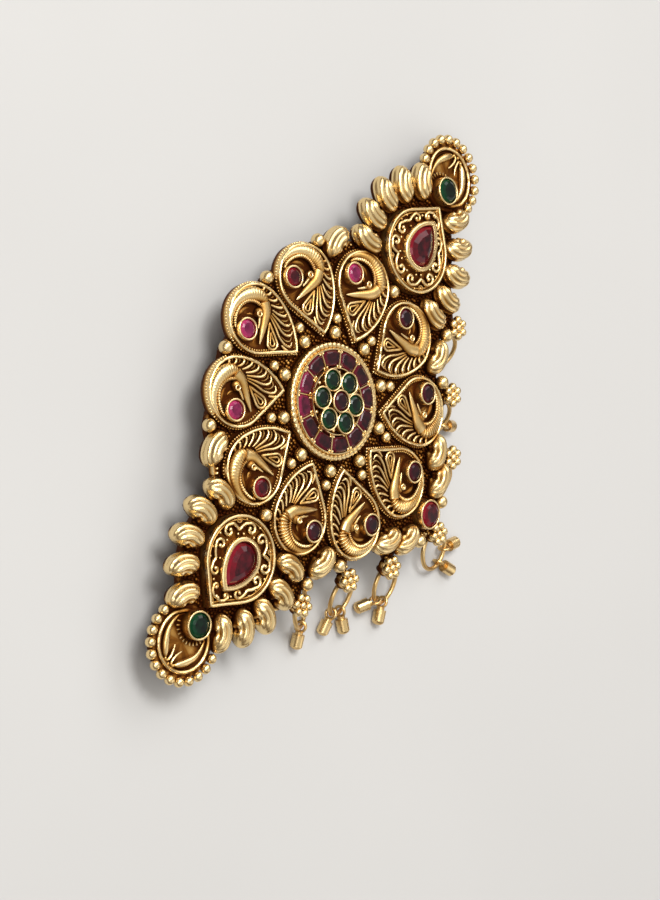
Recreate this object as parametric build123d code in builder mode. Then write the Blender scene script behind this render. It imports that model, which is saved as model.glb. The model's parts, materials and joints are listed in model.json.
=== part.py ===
from math import asin, atan2, cos, degrees, hypot, radians, sin, sqrt
import os

from build123d import *

# Jewelled hair clip: a domed, granulated gilt ornament on a closed spring clasp.
# X runs along the clip, Y across it with the hanging drops on the -Y side, Z up.
# The origin is the middle of the face that the clasp rests on.

os.makedirs("parts", exist_ok=True)

# Dome of the backing plate
long_radius = 417.0
cross_radius = 200.0
apex_height = 7.8
plate_thickness = 1.0
foot_depth = 0.7
notch_turn = -54.0
sheet_share = 0.2

# Play between pieces that are not soldered together
stone_play = 0.06
clasp_play = 0.1
link_play = 0.22
rest_play = 0.02

# Rosette in the middle
rosette_border = 0.85
cell_count = 12
cell_outer_radius = 8.0
cell_ring_wall = 0.35
rosette_radius = cell_outer_radius + cell_ring_wall + rosette_border
cell_inner_radius = 5.35
cell_wall = 0.3
cell_floor = 0.85
cell_wall_top = 1.8
cell_corner_cut = 0.45
border_top = 1.6
drum_floor = 1.6
drum_ring_top = 2.15
drum_ring_wall = 0.25
cup_top = 2.6
centre_cup_top = 3.1
cup_depth = 0.9
cup_wall = 0.18
flower_stone = 1.47
flower_radius = 3.55
flower_stones = 6
cell_facets = ((0.2, 30), 0.6, ((0.2, 40), (0.12, 60)))

# Petals around the rosette: a straight side, a round end and a full side, meeting at the tip
petal_count = 10
petal_seat = 19.5
petal_middle = (0.1, -0.3)
petal_radius = 5.65
petal_side_radius = 11.2
petal_lean = 41.6
petal_top = 1.3
rim_wire = 0.33
petal_stone_along = 0.97
petal_stone_across = 2.6
neck_middle = (0.45, 0.1)
neck_reach = 4.95
neck_sections = ((-80, 0.7), (-62, 1.1), (-30, 1.1), (0, 0.85), (30, 0.6), (60, 0.35))
neck_flatness = 0.75
beak_root = (0.6, -2.9)
beak_point = (-2.1, 2.2)
beak_sections = ((0, 1.0), (0.5, 0.7), (1, 0.2))
wing_place = (-4.2, 0.95)
wing_radius = 0.85
wing_tip = 3.1
wing_turn = 135.0
rib_wire = 0.26
rib_root = (-0.8, -2.7)
rib_root_step = (0.2, -0.12)
rib_ends = ((-7.0, -1.9), (-5.9, -3.0), (-4.7, -3.6), (-3.3, -4.3), (-1.9, -4.7), (-0.5, -4.85), (0.9, -4.8))
rib_bow = 0.14

# Round cut stones, as radius, and the collars that hold them
small_stone = 1.42
green_stone = 1.9
corner_stone = 2.0
bezel_wall = 0.36
bezel_top = 2.3
bezel_depth = 0.95
stone_sides = 12
small_facets = ((0.3, 40), 0.2, ((0.3, 35), (0.16, 60)))
large_facets = ((0.35, 40), 0.25, ((0.4, 35), (0.22, 60)))

# Medallions on each side
medallion_seat = 31.0
medallion_radius = 6.9
medallion_tip = 9.45
medallion_top = 1.8
medallion_wire = 0.35
pear_radius = 2.6
pear_tip = 5.1
pear_bezel_wall = 0.8
pear_bezel_top = 2.65
pear_bezel_depth = 1.3
pear_side_facets = 3
pear_end_facets = 6
pear_facets = ((0.4, 40), 0.3, ((0.5, 45), (0.35, 66)))
scroll_radius = 0.85
scroll_wire = 0.24
scroll_ball = 0.36

# Discs at both ends
disc_seat = 46.8
disc_radius = 5.85
disc_top = 0.8
disc_wire = 0.35
disc_stone_back = 3.15
border_bead = 0.82
border_beads = 13
border_bead_step = 17.0
leaf_reach = 4.4
leaf_sections = ((25, 0.35), (65, 0.8), (110, 0.95), (150, 0.5))
stem_root = (-0.6, 0)
stem_point = (4.0, 0)
stem_sections = ((0, 0.35), (0.5, 0.55), (1, 0.25))

# Granules and kidney beans
granule = 1.1
outer_granule = 0.92
inner_ring = 10.8
inner_ring_turn = -1.2
outer_ring = 13.05
outer_ring_turn = -3.6
granule_sink = 0.16
solder_share = 0.6
bean_radius = 1.9
bean_lift = 0.8
bean_length = 5.9
bean_bend = 3.0

# Granule flowers at the rim, and what hangs on them
flower_ball = 0.7
flower_balls = 6
flower_spacing = 1.3
flower_foot = 1.5
flower_foot_top = 0.4
flower_lift = 0.85
eye_radius = 0.82
eye_wire = 0.26
eye_out = 0.8
eye_drop = 0.55
ring_radius = 3.3
ring_wire = 0.36
bail_wire = 0.24
drop_radius = 1.0
drop_collar_radius = 0.62
drop_collar = 0.5
drop_barrel = 1.9
drop_end = 0.5

# Clasp under the plate
clasp_length = 66.0
clasp_width = 9.0
clasp_strip = 0.8
clasp_arm = 0.9
clasp_end_wall = 1.6
arm_length = 56.0
arm_bend_height = 2.4

# Kidney beans in one quarter: along, across, and the way they point in degrees
side_beans = {
    "by_petal": (20.8, 14.2, -8.0),
    "first": (25.4, 9.1, 92.0),
    "second": (29.6, 10.3, 82.0),
    "third": (34.2, 9.9, 64.0),
    "fourth": (38.2, 7.9, 45.0),
    "fifth": (41.6, 4.9, 34.0),
}
corner_beans = {"upper": (9.0, -23.6, 204.0), "lower": (6.0, -27.1, 192.0)}
corner_stone_y = -27.9

# Lone granules at the rim, mirrored left and right
rim_granules = {
    "top": (7.0, 21.5),
    "shoulder": (18.6, 16.9),
    "by_medallion": (22.5, 0.0),
    "under_medallion": (25.2, -13.8),
    "under_bean": (18.6, -17.6),
    "corner": (4.0, -29.8),
}

# Scrolls of a medallion in one half, counted from its round end
scroll_spots = {"back": (4.7, 1.35), "side": (1.9, 4.6), "shoulder": (-0.7, 4.85), "tip": (-4.9, 3.25)}

# Hanging units: place of the flower, way that its ring leans, and the drops as
# (place round the ring, way that the drop points), all in degrees from +X
hanging_units = {
    "right_upper": ((28.1, -15.4), -140.0, ((-160.0, -150.0),)),
    "right_middle": ((18.8, -21.0), -140.0, ((-75.0, -65.0),)),
    "right_lower": ((11.2, -27.5), -140.0, ((-160.0, -150.0),)),
    "bottom": ((0.0, -33.0), -95.0, ((-50.0, -35.0), (-95.0, -75.0))),
    "left_lower": ((-11.2, -27.5), -98.0, ((-175.0, 165.0), (-128.0, -155.0))),
    "left_middle": ((-18.8, -21.0), -100.0, ((-170.0, -150.0), (-110.0, -130.0))),
    "left_upper": ((-28.1, -15.4), -60.0, ((-120.0, -135.0),)),
}


def dome_height(x, y):
    """Height of the plate's upper face: an arc across, carried round an arc along."""
    across = long_radius - cross_radius + sqrt(cross_radius**2 - y**2)
    return apex_height - long_radius + sqrt(across**2 - x**2)


def seat(x, y, turn=0.0):
    """Plane that touches the dome at (x, y), with its x axis turned from +X."""
    section = sqrt(cross_radius**2 - y**2)
    across = long_radius - cross_radius + section
    reach = sqrt(across**2 - x**2)
    slope_x, slope_y = -x / reach, -across * y / section / reach
    along, side = cos(radians(turn)), sin(radians(turn))
    return Plane(
        origin=(x, y, dome_height(x, y)),
        x_dir=(along, side, slope_x * along + slope_y * side),
        z_dir=(-slope_x, -slope_y, 1),
    )


def set_on_dome(piece, x, y, turn=0.0):
    """A copy of a piece made about the origin, standing on the dome."""
    return piece.moved(seat(x, y, turn).location)


def teardrop(radius, tip, grow=0.0):
    """Outline round the origin with its point at -tip on x, moved out by grow."""
    round_end = radius + grow
    point = tip * round_end / radius
    along = -(round_end**2) / point
    side = sqrt(round_end**2 - along**2)
    with BuildLine() as outline:
        Line((-point, 0), (along, side))
        ThreePointArc((along, side), (round_end, 0), (along, -side))
        Line((along, -side), (-point, 0))
    return outline.wires()[0]


def pear_outline(radius, tip, grow=0.0):
    """Outline of a full pear: two arcs that leave its round end and meet at -tip on x."""
    side = (tip**2 + radius**2) / (2 * radius)
    inset, round_end, grown = side - radius, radius + grow, side + grow
    point = sqrt(grown**2 - inset**2)
    half_way = asin(point / grown) / 2
    bulge = (-grown * sin(half_way), grown * cos(half_way) - inset)
    with BuildLine() as outline:
        ThreePointArc((-point, 0), (bulge[0], -bulge[1]), (0, -round_end))
        ThreePointArc((0, -round_end), (round_end, 0), (0, round_end))
        ThreePointArc((0, round_end), bulge, (-point, 0))
    return outline.wires()[0]


def petal_outline(grow=0.0):
    """Outline of a petal round the origin with its tip towards -x, moved out by grow."""
    way = Vector(cos(radians(petal_lean)), sin(radians(petal_lean)))
    middle, round_end, side = Vector(*petal_middle), petal_radius + grow, petal_side_radius + grow
    side_middle = middle + Vector(0, petal_side_radius - petal_radius)
    touch = middle + Vector(-way.Y, way.X) * round_end
    off = touch - side_middle
    back = off.dot(way)
    tip = touch - way * (back + sqrt(back**2 - off.dot(off) + side**2))
    half_way = ((tip - side_middle).normalized() + Vector(0, -1)).normalized()
    with BuildLine() as outline:
        Line(tip, touch)
        ThreePointArc(touch, middle + Vector(round_end, 0), middle - Vector(0, round_end))
        ThreePointArc(middle - Vector(0, round_end), side_middle + half_way * side, tip)
    return outline.wires()[0]


def wire_along(path, radius, height):
    """Round wire along a level path, at a height."""
    raised = path.moved(Location((0, 0, height)))
    with BuildPart() as wire:
        with BuildSketch(Plane(origin=raised @ 0, z_dir=raised % 0)):
            Circle(radius)
        sweep(path=raised, transition=Transition.RIGHT)
    return wire.part


def cornered_wire(path, radius, height):
    """Round wire along a level path, swept edge by edge, with a ball on its corner towards -x."""
    raised = path.moved(Location((0, 0, height)))
    with BuildPart() as wire:
        for edge in raised.edges():
            with BuildSketch(Plane(origin=edge @ 0, z_dir=edge % 0)):
                Circle(radius)
            sweep(path=edge)
        with Locations(raised.vertices().sort_by(Axis.X)[0].center()):
            Sphere(radius * 1.1)
    return wire.part


def horn(reach, sections, height, flatness=1.0):
    """Curved body inside a circle of radius reach, through (angle, radius) sections."""
    with BuildPart() as body:
        for angle, radius in sections:
            turned = Plane.XY.rotated((0, 0, angle))
            centre = turned.from_local_coords((reach - radius, 0, height))
            with BuildSketch(Plane(origin=centre, x_dir=turned.x_dir, z_dir=turned.y_dir)):
                Ellipse(radius, radius * flatness)
        loft()
    return body.part


def taper_between(start, end, sections, height):
    """Level round body between two points, through (share, radius) sections."""
    way = Vector(*end) - Vector(*start)
    with BuildPart() as body:
        for share, radius in sections:
            with BuildSketch(Plane(origin=Vector(*start) + way * share + Vector(0, 0, height), z_dir=way)):
                Circle(radius)
        loft(ruled=True)
    return body.part


def prism(outline, bottom, top):
    """Straight body over an outline between two heights."""
    with BuildPart() as body:
        with BuildSketch(Plane.XY.offset(bottom)):
            make_face(outline)
        extrude(amount=top - bottom)
    return body.part


def disc(radius, bottom, top):
    """Round body between two heights."""
    with BuildPart() as body:
        with BuildSketch(Plane.XY.offset(bottom)):
            Circle(radius)
        extrude(amount=top - bottom)
    return body.part


def footed_ball(radius):
    """Granule sunk a little into the plate, on the solder that holds it."""
    centre = radius - granule_sink
    with BuildPart() as ball:
        add(disc(radius * solder_share, -foot_depth, centre))
        with Locations((0, 0, centre)):
            Sphere(radius)
    return ball.part


def kidney_bean():
    """Bent, round-ended bean lying along x with its hollow side towards -y."""
    half_turn = degrees((bean_length / 2 - bean_radius) / bean_bend)
    pivot = Vector(0, -bean_bend, bean_lift)
    crown = pivot + Vector(0, bean_bend, 0)
    start, end = (pivot + Vector(0, bean_bend, 0).rotate(Axis.Z, turn) for turn in (half_turn, -half_turn))
    with BuildPart() as bean:
        with BuildLine():
            path = ThreePointArc(start, crown, end)
        with BuildSketch(Plane(origin=path @ 0, z_dir=path % 0)):
            Circle(bean_radius)
        sweep(path=path)
        with Locations(start, end):
            Sphere(bean_radius)
    return bean.part


def cut_stone(corners, pavilion, girdle, crown):
    """Faceted stone over an outline: pavilion and each row of the crown are (height, slope)."""
    depth, pavilion_slope = pavilion
    with BuildPart() as stone:
        with BuildSketch(Plane.XY.offset(depth)):
            Polygon(*corners, align=None)
        extrude(amount=girdle)
        extrude(stone.faces().sort_by(Axis.Z)[0], amount=depth, taper=pavilion_slope)
        for height, slope in crown:
            extrude(stone.faces().sort_by(Axis.Z)[-1], amount=height, taper=slope)
    return stone.part


def round_corners(radius, sides):
    """Corners of a regular outline inside a circle."""
    turns = [radians(360 * k / sides) for k in range(sides)]
    return [(radius * cos(turn), radius * sin(turn)) for turn in turns]


def pear_corners(radius, tip):
    """Corners of a full pear with its point at -tip on x."""
    side = (tip**2 + radius**2) / (2 * radius)
    whole = asin(tip / side)
    turns = [whole * (1 - k / pear_side_facets) for k in range(1, pear_side_facets + 1)]
    full = [(-side * sin(turn), side * cos(turn) - side + radius) for turn in turns]
    ends = [radians(180 * k / pear_end_facets - 90) for k in range(1, pear_end_facets)]
    corners = [(-tip, 0)] + [(x, -y) for x, y in full]
    corners += [(radius * cos(turn), radius * sin(turn)) for turn in ends]
    return corners + full[::-1]


def cell_corners(half_turn):
    """Corners of one rosette cell, clear of its walls by the stones' play."""
    corners = []
    inner = (cell_inner_radius + stone_play) / cos(radians(half_turn))
    outer = cell_outer_radius - stone_play
    low, high = inner + cell_corner_cut, outer - cell_corner_cut
    rows = ((outer, (-0.6, 0, 0.6)), (high, (1,)), (low, (1,)), (inner, (0.6, -0.6)), (low, (-1,)), (high, (-1,)))
    for radius, shares in rows:
        limit = half_turn - degrees(asin((cell_wall / 2 + stone_play) / radius))
        corners += [Vector(radius, 0).rotate(Axis.Z, share * limit) for share in shares]
    return [(corner.X, corner.Y) for corner in corners]


def ring_of(count, radius, start=0.0):
    """Places spread evenly round a circle, with the way that each looks out."""
    turns = [start + 360 * k / count for k in range(count)]
    return [(radius * cos(radians(turn)), radius * sin(radians(turn)), turn) for turn in turns]


# Backing plate: its outline runs through what stands on its rim, cut from a domed sheet
granule_places = [(side * x, y) for side in (-1, 1) for x, y in rim_granules.values()]
flowers = {name: place for name, (place, lean, drops) in hanging_units.items()}
beans = {name: (x, y) for name, (x, y, turn) in (side_beans | corner_beans).items()}
bean_row = [beans[name] for name in side_beans]
upper_edge = [rim_granules["top"], rim_granules["shoulder"], *bean_row]
upper_edge += [(disc_seat, disc_radius - border_bead), (disc_seat + disc_radius - border_bead, 0)]
under_row = [(x, -y) for x, y in bean_row]
notch = (petal_seat * cos(radians(notch_turn)), petal_seat * sin(radians(notch_turn)))
lower_edge = [(disc_seat, border_bead - disc_radius), *under_row[:2:-1], flowers["right_upper"]]
lower_edge += [rim_granules["under_medallion"], under_row[0], rim_granules["under_bean"]]
lower_edge += [flowers["right_middle"], notch, beans["upper"], flowers["right_lower"], beans["lower"]]
lower_edge += [rim_granules["corner"], flowers["bottom"]]
right_edge = upper_edge + lower_edge
left_edge = [(-x, y) for x, y in reversed(right_edge[:-1])]

sheet_length = 2 * (disc_seat + 2 * disc_radius)
sheet_edge = cross_radius * sheet_share
with BuildPart() as dome_sheet:
    for share in (-0.5, -0.25, 0, 0.25, 0.5):
        x = sheet_length * share
        crown, edge = dome_height(x, 0), dome_height(x, sheet_edge)
        with BuildSketch(Plane.YZ.offset(x)):
            with BuildLine():
                ThreePointArc((-sheet_edge, edge), (0, crown), (sheet_edge, edge))
                Line((sheet_edge, edge), (sheet_edge, edge - plate_thickness))
                ThreePointArc(
                    (sheet_edge, edge - plate_thickness),
                    (0, crown - plate_thickness),
                    (-sheet_edge, edge - plate_thickness),
                )
                Line((-sheet_edge, edge - plate_thickness), (-sheet_edge, edge))
            make_face()
    loft()

with BuildPart() as plate:
    with BuildSketch():
        Polygon(*right_edge, *left_edge, align=None)
    extrude(amount=2 * apex_height)
    add(dome_sheet.part, mode=Mode.INTERSECT)

# Rosette: a round tray with walled cells and a raised flower of cups
cup_places = [(0, 0, 0)] + ring_of(flower_stones, flower_radius)
cup_tops = [centre_cup_top] + [cup_top] * flower_stones
with BuildPart() as rosette:
    add(disc(rosette_radius, -foot_depth, border_top))
    with BuildSketch(Plane.XY.offset(cell_floor)):
        Circle(cell_outer_radius)
        Circle(cell_inner_radius, mode=Mode.SUBTRACT)
        for x, y, turn in ring_of(cell_count, (cell_outer_radius + cell_inner_radius) / 2):
            with Locations(Location((x, y, 0), (0, 0, turn))):
                Rectangle(2 * (cell_outer_radius - cell_inner_radius), cell_wall, mode=Mode.SUBTRACT)
    extrude(amount=border_top, mode=Mode.SUBTRACT)
    with BuildSketch(Plane.XY.offset(cell_floor)):
        Circle(rosette_radius - rosette_border)
        Circle(cell_outer_radius, mode=Mode.SUBTRACT)
    extrude(amount=cell_wall_top - cell_floor)
    add(disc(cell_inner_radius, 0, drum_floor))
    with BuildSketch(Plane.XY.offset(drum_floor)):
        Circle(cell_inner_radius)
        Circle(cell_inner_radius - drum_ring_wall, mode=Mode.SUBTRACT)
    extrude(amount=drum_ring_top - drum_floor)
    for (x, y, turn), top in zip(cup_places, cup_tops):
        with BuildSketch(Plane.XY.offset(drum_floor)):
            with Locations((x, y)):
                Circle(flower_stone + stone_play + cup_wall)
        extrude(amount=top - drum_floor)
    for (x, y, turn), top in zip(cup_places, cup_tops):
        with BuildSketch(Plane.XY.offset(top - cup_depth)):
            with Locations((x, y)):
                Circle(flower_stone + stone_play)
        extrude(amount=2 * cup_depth, mode=Mode.SUBTRACT)

# One petal: rimmed teardrop with a bird's neck and beak, a wing loop and a fan of ribs
stone_place = (petal_stone_along, petal_stone_across)
with BuildPart() as petal:
    add(prism(petal_outline(), -foot_depth, petal_top))
    add(cornered_wire(petal_outline(-rim_wire), rim_wire, petal_top))
    neck = horn(neck_reach, neck_sections, petal_top, neck_flatness)
    add(neck.moved(Location((*neck_middle, 0))))
    add(taper_between(beak_root, beak_point, beak_sections, petal_top))
    wing = teardrop(wing_radius, wing_tip).moved(Location((*wing_place, 0), (0, 0, wing_turn)))
    add(wire_along(wing, rib_wire, petal_top))
    for k, rib_end in enumerate(rib_ends):
        start, end = Vector(*rib_root) + Vector(*rib_root_step) * k, Vector(*rib_end)
        bow = (end - start).rotate(Axis.Z, -90) * rib_bow
        with BuildLine() as rib:
            ThreePointArc(start, (start + end) / 2 + bow, end)
        add(wire_along(rib.wires()[0], rib_wire, petal_top))
    with BuildSketch(Plane.XY):
        with Locations(stone_place):
            Circle(small_stone + stone_play + bezel_wall)
    extrude(amount=bezel_top)
    with BuildSketch(Plane.XY.offset(bezel_top - bezel_depth)):
        with Locations(stone_place):
            Circle(small_stone + stone_play)
    extrude(amount=2 * bezel_depth, mode=Mode.SUBTRACT)

# Medallion: a pear plate with a wire rim, a collar for the pear stone and scrolls
pear_hole = pear_outline(pear_radius, pear_tip, stone_play)
pear_collar = pear_outline(pear_radius, pear_tip, stone_play + pear_bezel_wall)
scrolls = [(x, side * y) for side in (-1, 1) for x, y in scroll_spots.values()]
with BuildPart() as medallion:
    add(prism(teardrop(medallion_radius, medallion_tip), -foot_depth, medallion_top))
    rim_path = teardrop(medallion_radius, medallion_tip, -medallion_wire)
    add(wire_along(rim_path, medallion_wire, medallion_top))
    with Locations([(x, y, medallion_top) for x, y in scrolls]):
        Torus(scroll_radius, scroll_wire)
        Sphere(scroll_ball)
    add(prism(pear_collar, 0, pear_bezel_top))
    bore = prism(pear_hole, pear_bezel_top - pear_bezel_depth, 2 * pear_bezel_top)
    add(bore, mode=Mode.SUBTRACT)

# End disc: a round tray edged with beads, a collared stone and two leaves
disc_stone_place = (-disc_stone_back, 0)
bead_reach = disc_radius + border_bead / 2
with BuildPart() as end_disc:
    add(disc(disc_radius, -foot_depth, disc_top))
    with Locations((0, 0, disc_top)):
        Torus(disc_radius - border_bead, disc_wire)
    for k in range(border_beads):
        turn = radians(border_bead_step * (k - (border_beads - 1) / 2))
        with Locations((bead_reach * cos(turn), bead_reach * sin(turn), disc_top)):
            Sphere(border_bead)
    leaf = horn(leaf_reach, leaf_sections, disc_top)
    add(leaf)
    add(leaf.mirror(Plane.XZ))
    add(taper_between(stem_root, stem_point, stem_sections, disc_top))
    with BuildSketch(Plane.XY):
        with Locations(disc_stone_place):
            Circle(green_stone + stone_play + bezel_wall)
    extrude(amount=bezel_top)
    with BuildSketch(Plane.XY.offset(bezel_top - bezel_depth)):
        with Locations(disc_stone_place):
            Circle(green_stone + stone_play)
    extrude(amount=2 * bezel_depth, mode=Mode.SUBTRACT)

# Collar of the corner stone
with BuildPart() as corner_collar:
    add(disc(corner_stone + stone_play + bezel_wall, -foot_depth, bezel_top))
    with BuildSketch(Plane.XY.offset(bezel_top - bezel_depth)):
        Circle(corner_stone + stone_play)
    extrude(amount=2 * bezel_depth, mode=Mode.SUBTRACT)

# Granule flower on its own foot, with the eye under it that a jump ring hangs in
with BuildPart() as granule_flower:
    add(disc(flower_foot, -foot_depth, flower_foot_top))
    with Locations((0, 0, flower_lift)):
        Sphere(flower_ball)
        with PolarLocations(flower_spacing, flower_balls):
            Sphere(flower_ball)
    with Locations(Location((eye_out, 0, -plate_thickness - eye_drop), (90, 0, 0))):
        Torus(eye_radius, eye_wire)

# Everything soldered to the plate is one solid
petal_places = ring_of(petal_count, petal_seat, 360 / petal_count / 2)
bean = kidney_bean()
other_bean = bean.mirror(Plane.XZ)
pieces = [rosette.part.moved(Location((0, 0, apex_height)))]
pieces += [set_on_dome(petal.part, x, y, turn) for x, y, turn in petal_places]
pieces.append(set_on_dome(corner_collar.part, 0, corner_stone_y))
for side, turn in ((1, 0), (-1, 180)):
    pieces.append(set_on_dome(medallion.part, side * medallion_seat, 0, turn + 180))
    pieces.append(set_on_dome(end_disc.part, side * disc_seat, 0, turn))
for x, y, turn in side_beans.values():
    pieces.append(set_on_dome(bean, x, y, turn))
    pieces.append(set_on_dome(bean, -x, -y, 180 + turn))
    pieces.append(set_on_dome(other_bean, -x, y, 180 - turn))
    pieces.append(set_on_dome(other_bean, x, -y, -turn))
for x, y, turn in corner_beans.values():
    pieces.append(set_on_dome(bean, x, y, turn))
    pieces.append(set_on_dome(other_bean, -x, y, 180 - turn))
between_petals = 360 / petal_count / 2
granule_rings = ((granule, inner_ring, inner_ring_turn), (outer_granule, outer_ring, outer_ring_turn))
for radius, reach, ring_turn in granule_rings:
    ball = footed_ball(radius)
    for x, y, turn in ring_of(petal_count, reach, petal_places[0][2] + between_petals + ring_turn):
        pieces.append(set_on_dome(ball, x, y))
ball = footed_ball(granule)
pieces += [set_on_dome(ball, x, y) for x, y in granule_places]
for (x, y), lean, drops in hanging_units.values():
    pieces.append(set_on_dome(granule_flower.part, x, y, lean))

with BuildPart() as gold_frame:
    add(plate.part)
    add(pieces, clean=False)
gold_frame.part.label = "gold_frame"
export_step(gold_frame.part, "parts/gold_frame.step")

# Stones, each clear of its collar and floor by the stones' play
small_cut = cut_stone(round_corners(small_stone, stone_sides), *small_facets)
flower_cut = cut_stone(round_corners(flower_stone, stone_sides), *small_facets)
green_cut = cut_stone(round_corners(green_stone, stone_sides), *large_facets)
corner_cut = cut_stone(round_corners(corner_stone, stone_sides), *large_facets)
pear_cut = cut_stone(pear_corners(pear_radius, pear_tip), *pear_facets)
cell_cut = cut_stone(cell_corners(180 / cell_count), *cell_facets)
in_bezel = bezel_top - bezel_depth + stone_play

stones = {}
for k, (x, y, turn) in enumerate(cup_places):
    name = f"flower_green_stone_{k}" if k else "flower_centre_stone"
    cup_floor = apex_height + cup_tops[k] - cup_depth
    stones[name] = flower_cut.moved(Location((x, y, cup_floor + stone_play), (0, 0, turn)))
for k, (x, y, turn) in enumerate(ring_of(cell_count, 0, 180 / cell_count), 1):
    place = Location((0, 0, apex_height + cell_floor + stone_play), (0, 0, turn))
    stones[f"rosette_red_stone_{k}"] = cell_cut.moved(place)
for k, (x, y, turn) in enumerate(petal_places, 1):
    in_petal = Location((petal_stone_along, petal_stone_across, in_bezel))
    stones[f"petal_stone_{k}"] = small_cut.moved(seat(x, y, turn).location * in_petal)
for side, turn, name in ((1, 0, "right"), (-1, 180, "left")):
    in_disc = Location((-disc_stone_back, 0, in_bezel))
    stones[f"end_green_stone_{name}"] = green_cut.moved(seat(side * disc_seat, 0, turn).location * in_disc)
    in_pear = Location((0, 0, pear_bezel_top - pear_bezel_depth + stone_play))
    pear_seat = seat(side * medallion_seat, 0, turn + 180)
    stones[f"pear_stone_{name}"] = pear_cut.moved(pear_seat.location * in_pear)
stones["corner_stone"] = corner_cut.moved(seat(0, corner_stone_y).location * Location((0, 0, in_bezel)))
for name, stone in stones.items():
    stone.label = name
    export_step(stone, f"parts/{name}.step")

# One drop: a bail round the jump ring's wire, a collar, a barrel and a domed end
bail_radius = ring_wire + link_play + bail_wire
barrel_start = bail_radius + drop_collar
barrel_end = barrel_start + drop_barrel
with BuildPart() as hanging_drop:
    with BuildSketch():
        with BuildLine():
            Polyline(
                (barrel_end, drop_radius),
                (barrel_start, drop_radius),
                (barrel_start, drop_collar_radius),
                (bail_radius, drop_collar_radius),
                (bail_radius, 0),
                (barrel_end + drop_end, 0),
            )
            ThreePointArc(
                (barrel_end + drop_end, 0),
                (barrel_end + drop_end * 0.7, drop_radius * 0.7),
                (barrel_end, drop_radius),
            )
        make_face()
    revolve(axis=Axis.X)
    with Locations(Location((0, 0, 0), (90, 0, 0))):
        Torus(bail_radius, bail_wire)


def ring_plane(place, lean):
    """Plane of a jump ring that hangs in its eye and leans down to the surface."""
    eye = seat(*place, lean).from_local_coords((eye_out, 0, -plate_thickness - eye_drop))
    far_height = rest_play + bail_wire + bail_radius
    slope = asin((eye.Z - far_height) / (2 * ring_radius))
    out = Vector(cos(radians(lean)), sin(radians(lean)), 0)
    down = out * cos(slope) - Vector(0, 0, sin(slope))
    return Plane(origin=eye + down * ring_radius, x_dir=down, z_dir=down.cross(Vector(-out.Y, out.X, 0)))


def drop_plane(ring, around, way):
    """Plane of a drop whose bail holds the ring's wire and whose end lies on the surface."""
    hold = ring.from_local_coords((ring_radius * cos(radians(around)), ring_radius * sin(radians(around)), 0))
    outward = ring.x_dir * cos(radians(way)) + ring.y_dir * sin(radians(way))
    sideways = ring.y_dir * cos(radians(way)) - ring.x_dir * sin(radians(way))
    fall = (hold.Z - drop_radius - rest_play) / barrel_end
    pitch = asin(fall / hypot(outward.Z, ring.z_dir.Z)) - atan2(-outward.Z, ring.z_dir.Z)
    along = outward * cos(pitch) - ring.z_dir * sin(pitch)
    return Plane(origin=hold, x_dir=along, z_dir=along.cross(sideways))


for name, (place, lean, drops) in hanging_units.items():
    hanging = ring_plane(place, lean)
    with BuildPart(hanging) as jump_ring:
        Torus(ring_radius, ring_wire)
    jump_ring.part.label = f"jump_ring_{name}"
    export_step(jump_ring.part, f"parts/jump_ring_{name}.step")
    for k, (around, way) in enumerate(drops, 1):
        drop = hanging_drop.part.moved(drop_plane(hanging, around - lean, way - lean).location)
        drop.label = f"drop_{name}_{k}"
        export_step(drop, f"parts/drop_{name}_{k}.step")

# Spring clasp, closed: a strip under the plate and an arm below, joined at both ends
strip_top = apex_height - plate_thickness - clasp_play
strip_radius = long_radius - plate_thickness - clasp_play
half_clasp, half_arm = clasp_length / 2, arm_length / 2
end_top = strip_top - strip_radius + sqrt(strip_radius**2 - half_clasp**2)
inner_radius = strip_radius - clasp_strip
inner_half = half_clasp - clasp_end_wall
inner_end = strip_top - strip_radius + sqrt(inner_radius**2 - inner_half**2)
with BuildPart() as hair_clasp:
    with BuildSketch(Plane.XZ.offset(-clasp_width / 2)):
        with BuildLine():
            ThreePointArc((-half_clasp, end_top), (0, strip_top), (half_clasp, end_top))
            Polyline(
                (half_clasp, end_top),
                (half_clasp, arm_bend_height),
                (half_arm, 0),
                (-half_arm, 0),
                (-half_clasp, arm_bend_height),
                (-half_clasp, end_top),
            )
        make_face()
        with BuildLine():
            ThreePointArc((-inner_half, inner_end), (0, strip_top - clasp_strip), (inner_half, inner_end))
            Polyline(
                (inner_half, inner_end),
                (inner_half, arm_bend_height + clasp_arm / 2),
                (half_arm, clasp_arm),
                (-half_arm, clasp_arm),
                (-inner_half, arm_bend_height + clasp_arm / 2),
                (-inner_half, inner_end),
            )
        make_face(mode=Mode.SUBTRACT)
    extrude(amount=clasp_width)
hair_clasp.part.label = "hair_clasp"
export_step(hair_clasp.part, "parts/hair_clasp.step")
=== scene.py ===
import json
import math

import bpy
import numpy as np
from mathutils import Matrix


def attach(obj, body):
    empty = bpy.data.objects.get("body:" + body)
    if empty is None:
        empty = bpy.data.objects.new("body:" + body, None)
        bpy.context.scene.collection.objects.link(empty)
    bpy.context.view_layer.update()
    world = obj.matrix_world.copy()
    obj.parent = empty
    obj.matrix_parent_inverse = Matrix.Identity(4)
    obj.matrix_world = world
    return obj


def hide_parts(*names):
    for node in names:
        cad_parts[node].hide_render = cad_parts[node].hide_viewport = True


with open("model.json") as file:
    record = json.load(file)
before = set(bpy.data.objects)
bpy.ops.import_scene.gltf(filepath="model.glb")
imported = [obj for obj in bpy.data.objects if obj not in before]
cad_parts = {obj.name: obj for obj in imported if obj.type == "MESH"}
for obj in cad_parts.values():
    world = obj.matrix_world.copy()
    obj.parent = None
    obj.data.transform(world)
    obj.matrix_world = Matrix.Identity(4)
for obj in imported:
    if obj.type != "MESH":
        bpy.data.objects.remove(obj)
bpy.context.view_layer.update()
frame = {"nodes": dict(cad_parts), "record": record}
nodes = frame["nodes"]
millimetre = 0.001

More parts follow.
